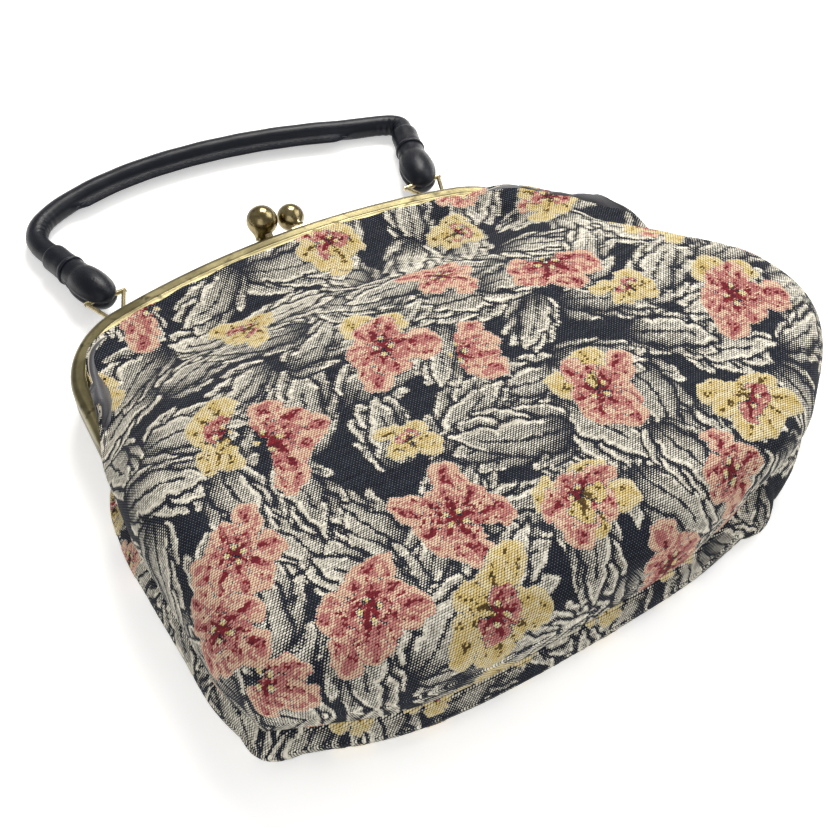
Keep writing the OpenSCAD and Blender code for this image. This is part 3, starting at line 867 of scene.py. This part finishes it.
def tapestry(name):
    """Woven thread by thread: each float is a small rounded stroke that grows with its tone."""
    material, shade, bsdf = new_finish(name)
    flat = shade.node("ShaderNodeUVMap", {"uv_map": "cloth"})
    woven = shade.node("ShaderNodeAttribute", {"attribute_name": "threads"})
    parts = shade.node("ShaderNodeSeparateColor", None, {0: woven})
    cream, rose, gold = (Shade(shade.tree, parts.socket.node.outputs[k]) for k in range(3))
    dark = Shade(shade.tree, woven.socket.node.outputs["Alpha"])
    rows = flat.split(1) * (cloth_scale / thread_pitch)
    row = rows.floor()
    across_row = rows.fract() * 2.0 - 1.0
    ends = flat.split(0) * (cloth_scale / float_len) + row * 0.5 + across_row * 0.22
    end = ends.floor()
    cell = shade.node("ShaderNodeCombineXYZ", None, {0: end, 1: row})
    luck = shade.node("ShaderNodeTexWhiteNoise", {"noise_dimensions": "2D"}, {"Vector": cell})
    second = shade.node("ShaderNodeTexWhiteNoise", {"noise_dimensions": "3D"}, {"Vector": cell})
    yarn = shade.node("ShaderNodeTexWhiteNoise", {"noise_dimensions": "1D"}, {"W": row})
    fuzz = shade.node("ShaderNodeTexCoord", output="Object").noise(2600.0, 2.0)
    round_row = 1.0 - across_row * across_row
    along_end = ends.fract() * 2.0 - 1.0
    round_end = 1.0 - along_end * along_end
    dot = round_row * round_end
    shown = dot.math("SQRT")
    is_rose = (rose + luck * 0.3).above(0.65)
    is_gold = (gold + luck * 0.3).above(0.65)
    flower = is_rose.math("MAXIMUM", is_gold)
    tone = cream * 1.10 + (luck - 0.5) * 0.34 * cream
    leaf_float = (shown + tone).ease(0.92, 1.12)
    is_dark = dark.above(second * 0.85 + 0.08)
    is_pale = cream.above(luck * 0.75 + 0.2)
    soft_luck = yarn * 0.35 + luck * 0.65
    ground = soft_luck.mix(rgba(0.004, 0.006, 0.012), rgba(0.014, 0.018, 0.030))
    white = soft_luck.mix(rgba(0.44, 0.41, 0.335), rgba(0.88, 0.84, 0.72))
    pink = soft_luck.mix(rgba(0.33, 0.085, 0.09), rgba(0.60, 0.27, 0.23))
    maroon = soft_luck.mix(rgba(0.085, 0.008, 0.014), rgba(0.26, 0.022, 0.032))
    blush = soft_luck.mix(rgba(0.64, 0.38, 0.27), rgba(0.84, 0.66, 0.48))
    straw = soft_luck.mix(rgba(0.50, 0.36, 0.12), rgba(0.76, 0.60, 0.26))
    brown = soft_luck.mix(rgba(0.03, 0.022, 0.012), rgba(0.15, 0.09, 0.025))
    butter = soft_luck.mix(rgba(0.66, 0.53, 0.28), rgba(0.84, 0.75, 0.48))
    # Round each flower float the colour falls to dark red under rose and dark brown under gold: partly the
    # ground between the floats, and partly painted shade between the rounded threads.
    gap = flower.mix(ground, is_rose.mix(rgba(0.05, 0.032, 0.018), rgba(0.07, 0.014, 0.018)))
    rose_part = is_pale.mix(is_dark.mix(pink, maroon), blush)
    gold_part = is_pale.mix(is_dark.mix(straw, brown), butter)
    petal = is_gold.mix(rose_part, gold_part)
    # Each flower float fades to that dark colour at its rounded edges, whatever its tone: painted shade
    # between the threads.
    petal_float = shown.ease(0.22, 0.62)
    floating = flower * petal_float + (1.0 - flower) * leaf_float
    colour = floating.mix(gap, flower.mix(white, petal))
    height = floating * (dot * 0.8 + 0.3) + fuzz * 0.2
    surface(shade, bsdf, height, 0.14 * mm, Base_Color=colour, Roughness=0.72 + fuzz * 0.2,
            Sheen_Weight=0.02, Sheen_Roughness=0.5, Specular_IOR_Level=0.1)
    return material


tapestry_finish = tapestry("floral_tapestry")


# --- Shape of the two panels --------------------------------------------------------------
# Front and back are cut alike and seamed round the sides and bottom, with a dart taken in at
# each lower corner. Their upper edges are crimped into the frame. Stuffed and laid on its
# back, the bag slumps to the right and its front swells over the frame's right shoulder.
left_seam = [(-85.5, -24.5), (-89.5, -38), (-92.3, -55), (-92, -73), (-90.6, -95), (-89.2, -114),
             (-83.6, -131)]
right_seam = [(85.5, -24.5), (95, -36), (112, -48), (127, -62), (134, -80), (127, -98), (112, -114),
              (98, -124), (80, -131)]
bottom_seam = [(-83.6, -131), (-69, -136.5), (-50, -143), (-30, -145.4), (-7, -145.4), (20, -143.8),
               (46, -141), (64, -136.5), (80, -131)]
tuck_inset = 4.5
tuck_height = 4.3
front_height = 26.5


def outward(line, sign):
    slope = np.gradient(line, axis=0)
    way = np.stack([slope[:, 1], -slope[:, 0]], 1) * sign
    return way / np.linalg.norm(way, axis=1)[:, None]


def panel_plan(across, down, turn_share):
    """Plan places of a panel's points between its four edges, and the edges' outward ways."""
    count = 401
    top = arch_line(tuck_inset, count)
    left, right, bottom = (smooth_line(line, count) for line in (left_seam, right_seam, bottom_seam))
    even = np.linspace(0, 1, count)

    def on(line, share):
        return np.stack([np.interp(share, even, line[:, k]) for k in range(2)], -1)

    left_turn, right_turn, bottom_turn = turn_share
    narrow = 0.64
    s = across.copy()
    wide = 1 - narrow * (left_turn + right_turn)
    s = narrow * left_turn + (across - left_turn) * wide / (1 - left_turn - right_turn)
    s = np.where(across < left_turn, narrow * left_turn * (1 - np.cos(math.pi / 2 * across / left_turn)),
                 s)
    s = np.where(across > 1 - right_turn,
                 1 - narrow * right_turn * (1 - np.cos(math.pi / 2 * (1 - across) / right_turn)), s)
    t = down * (1 - narrow * bottom_turn) / (1 - bottom_turn)
    t = np.where(down > 1 - bottom_turn,
                 1 - narrow * bottom_turn * (1 - np.cos(math.pi / 2 * (1 - down) / bottom_turn)), t)
    fs, ft = s[..., None], t[..., None]
    plan = ((1 - ft) * on(top, s) + ft * on(bottom, s) + (1 - fs) * on(left, t) + fs * on(right, t)
            - (1 - fs) * (1 - ft) * top[0] - fs * (1 - ft) * top[-1] - (1 - fs) * ft * bottom[0]
            - fs * ft * bottom[-1])
    ways = (on(outward(left, 1), t), on(outward(right, -1), t), on(outward(bottom, 1), s),
            on(outward(top, -1), s))
    return plan, ways, s


front_swells = [
    # where on the panel, how wide, and how far the cloth is pushed
    ((0.85, 0.05), (0.08, 0.08), (3, 3, 1)), ((0.95, 0.21), (0.11, 0.13), (-2, -12, -9)),
    ((0.97, 0.46), (0.08, 0.12), (2, -3, 0)), ((0.62, 0.16), (0.035, 0.10), (0, 0, -3.2)),
    ((0.72, 0.20), (0.05, 0.09), (0, 0, 2.6)), ((0.34, 0.13), (0.05, 0.09), (0, 0, -1.6)),
    ((0.17, 0.24), (0.06, 0.10), (0, 0, -1.8)), ((0.50, 0.62), (0.16, 0.14), (0, 0, 1.2)),
    ((0.78, 0.60), (0.07, 0.16), (0, 0, -1.4)),
]


def swell(place, across, down, centre, size, shift):
    """Pushes the cloth round one spot of a panel, fading to nothing at the seams."""
    bulge = np.exp(-((across - centre[0]) / size[0]) ** 2 - ((down - centre[1]) / size[1]) ** 2)
    to_seam = np.minimum(np.minimum(across, 1 - across) / 0.06, np.minimum(down / 0.03, (1 - down) / 0.06))
    return place + (bulge * ease(to_seam))[..., None] * np.array(shift, float)


def refine(coarse, count, axis):
    """A smooth curve through a grid's rows or columns, as a finer grid."""
    grid = np.moveaxis(coarse, axis, 0)
    last = len(grid) - 1
    place = np.linspace(0, last, count)
    low = np.minimum(place.astype(int), last - 1)
    t = (place - low).reshape((-1,) + (1,) * (grid.ndim - 1))
    p0, p1, p2, p3 = (grid[np.clip(low + k, 0, last)] for k in (-1, 0, 1, 2))
    fine = p1 + 0.5 * t * (p2 - p0 + t * (2 * p0 - 5 * p1 + 4 * p2 - p3 + t * (3 * (p1 - p2) + p3 - p0)))
    return np.moveaxis(fine, 0, axis)


def over_frame(share):
    """1 where the cloth folds out over the metal: the right shoulder and leg, and a little on the left."""
    right = ease((share - 0.77) / 0.10) * ease((1 - share) / 0.035)
    left = ease(share / 0.04) * ease((0.24 - share) / 0.10)
    return right, left


def front_shape(columns, rows):
    """The stuffed front panel as a grid of points in millimetres."""
    across, down = np.meshgrid(np.linspace(0, 1, columns), np.linspace(0, 1, rows))
    rim = 0.06
    t = np.clip((down - rim) / (1 - rim), 0, 1)
    turns = (0.17, 0.19, 0.20)
    plan, (go_left, go_right, go_down, go_out), along_frame = panel_plan(across, t, turns)
    channel = panel_plan(across, 0 * t, turns)[0]
    right, left = over_frame(along_frame)
    off_hinges = ease(np.minimum(along_frame, 1 - along_frame) / 0.07)
    reach = -4.8 * off_hinges + right * (8 + 15 * ease((along_frame - 0.86) / 0.09)) + left * 5.0
    plan = plan + go_out * (reach * (1 - ease(t / 0.34)))[..., None]
    up_left = np.sin(math.pi / 2 * np.clip(across / turns[0], 0, 1))
    up_right = np.sin(math.pi / 2 * np.clip((1 - across) / turns[1], 0, 1))
    up_bottom = np.sin(math.pi / 2 * np.clip((1 - t) / turns[2], 0, 1))
    from_frame = ease((t + 0.01) / 0.43) ** 0.85
    ridge = tuck_height + 5.4 * off_hinges + 3.4 * right + 0.6 * left
    start = ridge * (1 - ease(t / (0.16 + 0.25 * right)))
    height = mid_z + start + (front_height - start) * up_left * up_right * up_bottom * from_frame
    lean_left = 2.5 * ease(t / 0.15) * up_bottom * np.sin(math.pi * np.clip(across / turns[0], 0, 1))
    lean_right = (6 * ease(t / 0.1) * (1 - 0.8 * ease((t - 0.75) / 0.25)) * up_bottom
                  * np.sin(math.pi * np.clip((1 - across) / turns[1], 0, 1)))
    lean_down = 2.6 * np.sin(math.pi * np.clip((1 - t) / turns[2], 0, 1)) * up_left * up_right
    plan = (plan + go_left * lean_left[..., None] + go_right * lean_right[..., None]
            + go_down * lean_down[..., None])
    place = np.concatenate([plan, height[..., None]], -1)
    for centre, size, shift in front_swells:
        place = swell(place, across, t, centre, size, shift)
    gathers = 0.55 * np.exp(-((t - 0.03) / 0.05) ** 2) * np.sin(across * 74 + 2 * np.sin(across * 19))
    place[..., 2] += gathers * off_hinges

    # from the channel the cloth runs in under the face, up, and out again where it folds over
    first = int(math.ceil(rim * (rows - 1)))
    ridge_place, beyond = place[first], place[min(first + 2, rows - 1)]
    edge, out, fold = channel[0], go_out[0], np.maximum(right, 0.62 * left)[0][:, None]
    plain = ((0, 4.3), (-1.8, 4.3), (-3.9, 4.4), (-4.9, 5.4), (-5.2, 6.6), (-5.1, 8.0))
    folded = ((0, 4.3), (-3.9, 4.4), (-5.6, 6.2), (-4.2, 8.1), (2.6, 8.2))
    path = []
    for k, (shift, rise) in enumerate(plain):
        if k < len(folded):
            over = edge + out * folded[k][0]
            over_rise = folded[k][1]
        else:
            over = ridge_place[:, :2] - out * 2.5
            over_rise = ridge_place[:, 2] - mid_z - 3.6
        away = off_hinges[0][:, None]
        spot = (edge + out * shift) * (1 - fold) + over * fold
        high = mid_z + rise * (1 - fold[:, 0]) + over_rise * fold[:, 0]
        spot = np.concatenate([spot, high[:, None]], -1)
        flat_path = np.concatenate([edge, np.full((columns, 1), mid_z + tuck_height)], -1)
        flat_path = flat_path + (ridge_place - flat_path) * k / len(plain)
        path.append(spot * away + flat_path * (1 - away))
    path += [ridge_place, beyond]
    rolled = refine(np.stack(path), 7 * 40 + 1, 0)
    steps = np.clip(down[:first, 0] / (first / (rows - 1)), 0, 1) * 6 * 40
    place[:first] = rolled[np.round(steps).astype(int)]
    return place, across, down


def back_shape(columns, rows):
    """The back panel: it meets the front at the seam and lies flat on the table."""
    across, down = np.meshgrid(np.linspace(0, 1, columns), np.linspace(0, 1, rows))
    turns = (0.10, 0.11, 0.11)
    plan, (go_left, go_right, go_down, _), _ = panel_plan(across, down, turns)
    drop = (np.sin(math.pi / 2 * np.clip(across / turns[0], 0, 1))
            * np.sin(math.pi / 2 * np.clip((1 - across) / turns[1], 0, 1))
            * np.sin(math.pi / 2 * np.clip((1 - down) / turns[2], 0, 1))) ** 0.9
    from_frame = ease((down - 0.02) / 0.30) ** 0.9
    tuck = tuck_height * (1 - ease(down / 0.1))
    height = mid_z - tuck - (mid_z - 0.35 - tuck) * drop * from_frame
    out = 5.2
    to_left, to_right, to_bottom = (np.sin(math.pi / 2 * np.clip(share / turn, 0, 1))
                                    for share, turn in zip((across, 1 - across, 1 - down), turns))
    lean_left = (out * ease(down / 0.2)
                 * np.sin(math.pi * np.clip(across / turns[0], 0, 1)) ** 0.8 * to_bottom)
    lean_right = (out * ease(down / 0.2)
                  * np.sin(math.pi * np.clip((1 - across) / turns[1], 0, 1)) ** 0.8 * to_bottom)
    lean_down = out * np.sin(math.pi * np.clip((1 - down) / turns[2], 0, 1)) ** 0.8 * to_left * to_right
    plan = (plan + go_left * lean_left[..., None] + go_right * lean_right[..., None]
            + go_down * lean_down[..., None])
    place = np.concatenate([plan, height[..., None]], -1)
    return place, across, down


def flat_cloth(place, rounds=2600, flat=None):
    """Lays a coarse panel out flat, so that its threads keep their lengths: the cut of the cloth."""
    if flat is None:
        flat = place[..., :2] * np.array([1.16, -1.16])
    whole = slice(None)
    links = []
    for first, second in (((whole, slice(0, -1)), (whole, slice(1, None))),
                          ((slice(0, -1), whole), (slice(1, None), whole)),
                          ((slice(0, -1), slice(0, -1)), (slice(1, None), slice(1, None))),
                          ((slice(0, -1), slice(1, None)), (slice(1, None), slice(0, -1)))):
        links.append((first, second, np.linalg.norm(place[second] - place[first], axis=-1)))
    for _ in range(rounds):
        push = np.zeros_like(flat)
        for first, second, length in links:
            apart = flat[second] - flat[first]
            now = np.linalg.norm(apart, axis=-1) + 1e-9
            pull = apart * ((now - length) / now)[..., None]
            push[first] += pull
            push[second] -= pull
        flat = flat + push * 0.115
    return flat


# --- Front and back panels ----------------------------------------------------------------
# The two tapestry panels. Flowers are set out on the front's flat cloth; the back is
# cut from the same cloth further along. Each is one sheet, held by the frame and the seam.
fine_columns = 353
fine_rows = 273
plain_columns = 45
plain_rows = 35
front_flowers = [
    # u, v, radius, turn, petals, and the fan's spread, the darkness of the heart and its colour
    (13, -13, 12.5, 20, "gggrg", 360, 0.7, "g"), (-21, -22, 7, 250, "rrr", 150, 0.8, "r"),
    (-54, -13, 14, 205, "rrrrr", 170, 0.6, "r"), (-30, 14, 11.5, 10, "ggggg", 360, 0.75, "g"),
    (-83, 12, 9.5, 60, "gggg", 360, 0.7, "g"), (-57, 64, 12.5, 190, "gggg", 170, 0.8, "g"),
    (-46, 72, 16, 12, "rrrrr", 150, 1.0, "r"), (1, 55, 15, 15, "rrrrgg", 360, 0.8, "r"),
    (20, 69, 13, 12, "rrrr", 110, 0.6, "r"), (34, 33, 12, 0, "rrrrr", 360, 0.85, "r"),
    (57, 2, 8.5, 40, "gggg", 360, 0.7, "g"), (68, -14, 9, 0, "rrrr", 360, 0.7, "r"),
    (92, 6, 12, 70, "ggrgg", 360, 0.6, "g"), (66, 47, 14, 100, "rrrrr", 190, 1.1, "r"),
    (82, 70, 9.5, 30, "gggg", 360, 0.75, "g"), (111, 88, 15, 20, "rrrrgg", 360, 0.75, "r"),
    (50, 102, 14.5, 330, "rrrrgg", 360, 0.85, "r"), (89, 126, 13.5, 15, "ggggg", 360, 0.7, "g"),
    (-9, 92, 9.5, 45, "gggg", 360, 0.8, "g"), (70, 145, 12, 0, "rrrr", 360, 0.9, "r"),
    (-11, 122, 15, 230, "rrrrrr", 260, 1.1, "r"), (24, 133, 14, 10, "ggrgg", 360, 0.75, "r"),
    (45, 164, 13, 30, "rrrrr", 360, 0.6, "r"), (-15, 152, 16, 20, "ggggg", 360, 0.7, "g"),
    (-47, 136, 15, 10, "rrrrr", 360, 0.8, "r"), (-71, 103, 13, 0, "rrrrrr", 360, 0.85, "r"),
    (-83, 120, 13.5, 40, "rrrrr", 360, 0.8, "r"), (-78, 138, 12, 80, "rrr", 150, 0.5, "r"),
    (110, 45, 12, 20, "ggrgg", 360, 0.7, "g"), (136, 66, 12, 0, "rrrrr", 360, 0.8, "r"),
]
back_flowers = [
    (-96, 30, 9, 0, "rrrrr", 360, 1.0, "r"), (-98, 50, 8, 0, "ggggg", 360, 0.8, "g"),
    (-100, 68, 8, 0, "rrrr", 360, 1.0, "r"), (-60, 20, 13, 0, "rrrrr", 360, 0.8, "r"),
    (-20, 0, 12, 0, "ggggg", 360, 0.7, "g"), (30, 10, 14, 30, "rrrrgg", 360, 0.8, "r"),
    (80, 30, 13, 0, "ggrgg", 360, 0.7, "g"), (-40, 60, 14, 0, "gggrg", 360, 0.7, "g"),
    (10, 62, 15, 60, "rrrrrr", 360, 0.9, "r"), (60, 75, 12, 0, "ggggg", 360, 0.7, "g"),
    (105, 80, 14, 0, "rrrrr", 360, 0.8, "r"), (-70, 105, 14, 0, "rrrrr", 360, 0.8, "r"),
    (-20, 108, 13, 0, "rrrrg", 360, 0.8, "r"), (35, 118, 13, 0, "gggrg", 360, 0.7, "g"),
    (85, 118, 12, 0, "rrrrr", 360, 0.8, "r"), (-58, 145, 10, 0, "ggggg", 360, 0.7, "g"),
    (-36, 149, 10, 20, "ggggr", 360, 0.7, "g"), (-8, 150, 9, 0, "gggg", 360, 0.7, "g"),
    (22, 149, 10, 0, "ggggg", 360, 0.7, "g"), (48, 146, 10, 40, "ggggg", 360, 0.7, "g"),
    (66, 140, 9, 0, "rrrr", 360, 0.7, "r"), (92, 126, 9, 0, "ggggg", 360, 0.7, "g"),
    (118, 108, 9, 0, "rrrrr", 360, 0.7, "r"),
]


def grid_normals(place, side):
    normals = np.cross(np.gradient(place, axis=1), np.gradient(place, axis=0)) * -side
    return normals / np.maximum(np.linalg.norm(normals, axis=2), 1e-9)[..., None]


def grid_mesh(name, place, side, finish):
    """A sheet of quads from a grid of points in millimetres, facing up for side 1, down for -1."""
    rows, columns = place.shape[:2]
    index = np.arange(rows * columns).reshape(rows, columns)
    corners = [index[:-1, :-1], index[1:, :-1], index[1:, 1:], index[:-1, 1:]]
    if side < 0:
        corners.reverse()
    quads = np.stack(corners, -1).reshape(-1, 4)
    metres = place.reshape(-1, 3) * mm + np.array([centre_x, shoulder_y, 0])
    data = bpy.data.meshes.new(name)
    data.from_pydata(metres.tolist(), [], quads.tolist())
    data.materials.append(finish)
    data.polygons.foreach_set("use_smooth", np.ones(len(quads), bool))
    data.update()
    return add_object(name, data), quads


def give_flat_map(data, quads, flat):
    """Stores where each corner lies on the flat cloth, as the map that the weave follows."""
    layer = data.uv_layers.new(name="cloth")
    places = flat.reshape(-1, 2)[quads.ravel()] / cloth_scale + np.array([0.45, 0.25])
    layer.data.foreach_set("uv", places.ravel())


def cut_size(flat):
    """The cut's width, length and area in metres and square metres."""
    size = (flat.reshape(-1, 2).max(0) - flat.reshape(-1, 2).min(0)) * mm
    a, b = flat[1:, 1:] - flat[:-1, :-1], flat[1:, :-1] - flat[:-1, 1:]
    area = 0.5 * np.abs(a[..., 0] * b[..., 1] - a[..., 1] * b[..., 0]).sum() * mm * mm
    return tuple(float(x) for x in size), float(area)


def sew_panel(name, shape, side, flowers, seed, node):
    coarse = flat_cloth(shape(plain_columns, plain_rows)[0])
    place = shape(fine_columns, fine_rows)[0]
    every = place[::4, ::4]
    cut = flat_cloth(every, 1500, refine(refine(coarse, every.shape[1], 1), every.shape[0], 0))
    flat = refine(refine(cut, fine_columns, 1), fine_rows, 0)
    cloth = Cloth(flat[..., 0], flat[..., 1])
    weave_leaves(cloth, seed)
    for u, v, radius, turn, petals, spread, depth, heart in flowers:
        weave_flower(cloth, u, v, radius, turn, petals, depth, spread, heart)
    threads = cloth.threads.reshape(fine_rows, fine_columns, 4)
    raised = np.clip(threads[..., 0] * 0.6 + threads[..., 1] + threads[..., 2], 0, 1)
    place = place + grid_normals(place, side) * (raised * 0.28)[..., None]
    panel, quads = grid_mesh(name, place, side, tapestry_finish)
    give_flat_map(panel.data, quads, flat)
    woven = panel.data.attributes.new("threads", "FLOAT_COLOR", "POINT")
    woven.data.foreach_set("color", threads.ravel())
    size, area = cut_size(cut)
    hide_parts(node)
    return panel


def follow_front(piece):
    """The front of the bag is drawn up by the front half of the frame as it opens; here the piece's
    placement is only baked into its mesh.
    """
    at(0, -100, mid_z)
    at(0, 4, mid_z)
    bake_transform(piece)


front_panel = sew_panel("tapestry_front", front_shape, 1, front_flowers, 21, "front_panel")
follow_front(front_panel)
back_panel = sew_panel("tapestry_back", back_shape, -1, back_flowers, 8, "back_panel")
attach(back_panel, "bag")


# --- Interlining and lining ---------------------------------------------------------------
# Behind each tapestry panel is a stiff buckram interlining, and then a dark satin lining,
# caught in the same seam and crimped into the same channel.
def plain_cloth(name, colours, pitch, rough, sheen):
    material, shade, bsdf = new_finish(name)
    flat = shade.node("ShaderNodeUVMap", {"uv_map": "cloth"})
    warp = (flat.split(0) * (cloth_scale / pitch)).fract() * 2.0 - 1.0
    weft = (flat.split(1) * (cloth_scale / pitch)).fract() * 2.0 - 1.0
    over = 1.0 - (warp * warp).math("MINIMUM", weft * weft)
    slub = flat.noise(90.0, 4.0, 0.6)
    surface(shade, bsdf, over, 0.05 * mm, Base_Color=(slub * 0.6 + over * 0.4).mix(*colours),
            Roughness=rough + slub * 0.12, Sheen_Weight=sheen)
    return material


buckram = plain_cloth("buckram", (rgba(0.46, 0.42, 0.34), rgba(0.68, 0.64, 0.55)), 0.8, 0.85, 0.0)
satin = plain_cloth("satin_lining", (rgba(0.012, 0.012, 0.016), rgba(0.035, 0.035, 0.045)), 0.3, 0.42, 0.4)


def inner_layer(name, shape, side, depth, finish, node, columns=177, rows=137):
    coarse = shape(plain_columns, plain_rows)[0]
    cut = flat_cloth(coarse, 900)
    place = shape(columns, rows)[0]
    s, t = np.meshgrid(np.linspace(0, 1, columns), np.linspace(0, 1, rows))
    from_edge = ease(np.minimum(np.minimum(s, 1 - s), np.minimum(t, 1 - t))
                     / (0.015 if side > 0 else 0.06))
    place = place - grid_normals(place, side) * (depth * from_edge)[..., None]
    layer, quads = grid_mesh(name, place, side, finish)
    give_flat_map(layer.data, quads, refine(refine(cut, columns, 1), rows, 0))
    size, area = cut_size(cut)
    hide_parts(node)
    return layer


for name, shape, side in (("front", front_shape, 1), ("back", back_shape, -1)):
    for kind, depth, finish, slot in (("interlining", 0.7, buckram, "interlining"),
                                      ("lining", 1.4, satin, "lining_cloth")):
        layer = inner_layer(f"{kind}_{name}", shape, side, depth, finish, f"{name}_{kind}")
        if side > 0:
            follow_front(layer)
        else:
            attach(layer, "bag")


# --- Pocket and channel cords -------------------------------------------------------------
# A small patch pocket of the lining satin is sewn to the back lining on three sides. Twisted
# paper cord is crimped into each channel behind the cloth's edge and keeps the CAD shape.
pocket_low, pocket_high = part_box("lining_pocket")
pocket_w = (pocket_high.x - pocket_low.x) / mm
pocket_h = (pocket_high.y - pocket_low.y) / mm
pocket_left = (pocket_low.x - centre_x) / mm
pocket_foot = (pocket_low.y - shoulder_y) / mm
across, down = np.meshgrid(np.linspace(0, 1, 65), np.linspace(0, 1, 41))
puff = 0.9 * (np.sin(math.pi * across) * np.sin(math.pi * np.clip(down * 0.62 + 0.38, 0, 1))) ** 0.6
pocket_place = np.stack([pocket_left + pocket_w * across, pocket_foot + pocket_h * (1 - down),
                         2.3 + puff], -1)
pocket, quads = grid_mesh("lining_pocket_patch", pocket_place, 1, satin)
give_flat_map(pocket.data, quads, np.stack([pocket_w * across, pocket_h * down], -1))
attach(pocket, "bag")
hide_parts("lining_pocket")

pocket_thread = thread_finish("pocket_thread", (0.06, 0.06, 0.075))
hem = 2.0
hem_line = [(pocket_left + hem, pocket_foot + pocket_h - 1, 2.75),
            (pocket_left + hem, pocket_foot + hem, 2.6),
            (pocket_left + pocket_w - hem, pocket_foot + hem, 2.6),
            (pocket_left + pocket_w - hem, pocket_foot + pocket_h - 1, 2.75)]
pocket_stitches = lay_stitches("pocket_stitches", hem_line, stitch_tree(pocket_thread), 3.0, 2.2, 0.2)
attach(pocket_stitches, "bag")

paper_finish, shade, bsdf = new_finish("twisted_paper_cord")
place = shade.node("ShaderNodeTexCoord", output="Object")
twist = shade.node("ShaderNodeTexWave", {"bands_direction": "DIAGONAL"},
                   {"Vector": place, "Scale": 420.0, "Distortion": 2.0})
surface(shade, bsdf, twist, 0.15 * mm,
        Base_Color=twist.mix(rgba(0.24, 0.15, 0.08), rgba(0.46, 0.32, 0.18)), Roughness=0.88)
dress(("front_channel_cord", "back_channel_cord"), paper_finish)
